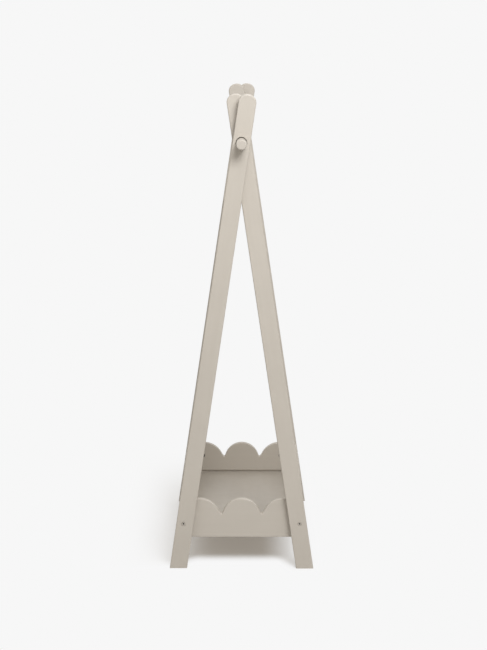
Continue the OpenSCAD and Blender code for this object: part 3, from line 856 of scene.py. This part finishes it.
def bolt(side, back):
    """A leg bolt: painted head with a rounded rim, and a hexagon socket whose bottom is painted near-black
    as shade.
    """
    r, shank, tip = BOLT_HEAD_D / 2, BOLT_D / 2, BOLT_TIP - BOLT_SEAT
    profile = [(0, tip), (shank - BOLT_POINT[0], tip), (shank, tip + BOLT_POINT[1]), (shank, 0), (r, 0)]
    profile += rim(r, HEAD_EASE, BOLT_HEAD_T, 3) + [(0, BOLT_HEAD_T)]
    obj = lathe("bolt", profile, along((side * BOLT_SEAT, back * SIDE_MID, BOLT_H), X * side))
    face = Vector((side * (BOLT_SEAT + BOLT_HEAD_T), back * SIDE_MID, BOLT_H))
    hexagon = slab("hexagon", arc(0, 0, BOLT_KEY / sqrt(3), 0, 300, 60), 2 * SOCKET_DEPTH, SHARP,
                   axes(face, X, Y, Z), steps=1)
    mouth = bore(BOLT_KEY, face - X * side * MOUTH_DEPTH, face, end_rim=MOUTH_RIM)
    for piece in (obj, hexagon, mouth):
        piece.data.materials.append(bolt_paint)
    # the socket's bottom takes the painted shade, its walls the bolt's paint
    hexagon.data.materials.append(dark)
    for polygon in hexagon.data.polygons:
        polygon.material_index = 1 if polygon.normal.x * side < -FACE_ON else 0
    cut(obj, [hexagon, mouth], "TRANSFER")
    return obj


def pin(side):
    """A stop pin through the rail, with chamfered ends."""
    half = RAIL_D / 2 + PIN_PROUD
    profile = rod_profile([(PIN_D / 2 - inset, half - drop) for inset, drop in PIN_END], half)
    obj = lathe("pin", profile, along((side * PIN_X, 0, RAIL_H), Z), SMALL_SEGMENTS)
    obj.data.materials.append(birch_up)
    return obj


brackets, bracket_screws = [], []
for v in BRACKET_V:
    angle, pair = bracket(v)
    brackets.append(angle)
    bracket_screws += pair
mirror_screws = [screw(on_back(x, -BAR_BACK - SEAT, BAR_V + BAR_W / 2), OUT, 2 * SEAT + BAR_T + BACK_SCREW)
                 for x in BAR_SCREW_X]
leg_bolts = [bolt(side, back) for side in (-1, 1) for back in (-1, 1)]

finish_piece(join("mirror_angles", brackets), "mirror_brackets")
finish_piece(join("angle_screws", bracket_screws), "bracket_screws")
finish_piece(join("backboard_screws", mirror_screws), "mirror_screws")
finish_piece(join("leg_bolt_set", leg_bolts), "leg_bolts")
finish_piece(join("stop_pins", [pin(-1), pin(1)]), "rail_stop_pins", body="rail", crease=PIN_CREASE)

# CAD nodes that are kept, with a material each
KEPT = {"barrel_nuts": steel, "cam_locks": cast, "cam_dowels": steel, "mirror_tape": tape,
        "tray_dowels": birch("birch_across", (1, 0.04, 1)),
        "crossbar_dowels": birch("birch_along", (0.04, 1, 1))}
for name, material in KEPT.items():
    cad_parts[name].data.materials.clear()
    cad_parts[name].data.materials.append(material)


# ---- camera and studio -----------------------------------------------------

def camera():
    data = bpy.data.cameras.new("view")
    data.lens = LENS
    data.sensor_width = SENSOR
    data.clip_start = CLIP_NEAR
    data.clip_end = CLIP_FAR
    view = new_object("view", data)
    view.location = CAMERA_PLACE
    view.rotation_euler = (pi / 2 - CAMERA_PITCH, 0, CAMERA_YAW - pi / 2)
    bpy.context.scene.camera = view


def seen_ray(tree):
    """One where the eye or a mirror looks, so that neither sees a dark surround."""
    ray = add_node(tree, "ShaderNodeLightPath")
    result = ray.outputs["Is Camera Ray"]
    for kind in ("Is Glossy Ray", "Is Transmission Ray"):
        result = add_node(tree, "ShaderNodeMath", {0: result, 1: ray.outputs[kind]},
                          operation="MAXIMUM").outputs[0]
    return result


def mixed(tree, fac, first, second):
    """The second shader as far as fac says, and the first one for the rest."""
    return add_node(tree, "ShaderNodeMixShader", {0: fac, 1: first, 2: second}).outputs[0]


def floor_material():
    """A plain floor that keeps the object's shadow and fades to the background round it."""
    material = bpy.data.materials.new("floor")
    material.use_nodes = True
    tree = material.node_tree
    tree.nodes.remove(tree.nodes["Principled BSDF"])

    def maths(operation, *terms):
        return add_node(tree, "ShaderNodeMath", dict(enumerate(terms)), operation=operation).outputs[0]

    def ramp(source, start, end, low=0.0, high=1.0):
        return add_node(tree, "ShaderNodeMapRange", {
            "Value": source, "From Min": start, "From Max": end, "To Min": low, "To Max": high},
            interpolation_type="SMOOTHSTEP").outputs["Result"]

    def faded(share, *fades):
        """A share that falls to nothing over each of the fades."""
        for source, fade in fades:
            share = maths("MULTIPLY", share, ramp(source, *fade, 1.0, 0.0))
        return share

    def matt(tint):
        return add_node(tree, "ShaderNodeBsdfDiffuse", {"Color": (*tint, 1)}).outputs[0]

    def glow(tint, strength):
        return add_node(tree, "ShaderNodeEmission", {"Color": (*tint, 1), "Strength": strength}).outputs[0]

    place = add_node(tree, "ShaderNodeTexCoord").outputs["Object"]
    split = add_node(tree, "ShaderNodeSeparateXYZ", {0: place})
    x, y = split.outputs["X"], split.outputs["Y"]
    bent = maths("ADD", x, ramp(y, *BEND_AT, 0.0, BEND_BY))
    kept = faded(ramp(bent, *FADE_NEAR, 1.0, 0.0), (x, FADE_FAR), (y, FADE_LEFT), (y, FADE_RIGHT))
    slanted = maths("ADD", maths("MULTIPLY_ADD", x, FOOT_SLANT, FOOT_SHIFT), y)
    foot = maths("MULTIPLY", ramp(slanted, *FOOT_SIDE, 0.0, FOOT_SHARE), ramp(x, *FOOT_BACK))
    foot = faded(foot, (x, FOOT_FRONT), (y, FOOT_OUTER))
    kept = maths("MINIMUM", maths("ADD", kept, foot), 1.0)
    # the floor the eye sees is partly a painted warm glow, which lightens and warms its shadow
    shaded = mixed(tree, FLOOR_PAINTED_GLOW_SHARE, matt(FLOOR_SEEN), glow(*FLOOR_PAINTED_GLOW))
    seen = mixed(tree, kept, glow(WHITE, BACKGROUND), shaded)
    whole = mixed(tree, seen_ray(tree), matt(FLOOR_TONE), seen)
    tree.links.new(whole, tree.nodes["Material Output"].inputs["Surface"])
    return material


def sky():
    """Even light from all round, which the eye and the mirror see as the plain background."""
    world = bpy.data.worlds.new("studio")
    bpy.context.scene.world = world
    world.use_nodes = True
    tree = world.node_tree
    soft = tree.nodes["Background"]
    soft.inputs["Color"].default_value = (*SKY_TINT, 1)
    soft.inputs["Strength"].default_value = SKY
    seen = add_node(tree, "ShaderNodeBackground", {"Color": (*WHITE, 1), "Strength": BACKGROUND})
    whole = mixed(tree, seen_ray(tree), soft.outputs[0], seen.outputs[0])
    tree.links.new(whole, tree.nodes["World Output"].inputs["Surface"])


def lamps():
    for name, (way, aim, far, size, power) in LAMPS.items():
        way = Vector(way).normalized()
        light = bpy.data.lights.new(name, "AREA")
        light.shape = "DISK"
        light.size = size
        light.energy = power
        light.color = LAMP_TINT
        lamp = new_object(name, light)
        lamp.location = Vector(aim) - way * far
        lamp.rotation_euler = way.to_track_quat("-Z", "Y").to_euler()


def ground():
    mesh = bpy.data.meshes.new("floor")
    corners = [(x, y, 0) for x, y in rectangle(-FLOOR_HALF, -FLOOR_HALF, FLOOR_HALF, FLOOR_HALF)]
    mesh.from_pydata(corners, [], [(0, 1, 2, 3)])
    mesh.materials.append(floor_material())
    new_object("floor", mesh)


bpy.context.scene.view_settings.view_transform = "Standard"
camera()
sky()
lamps()
ground()
bpy.context.view_layer.update()
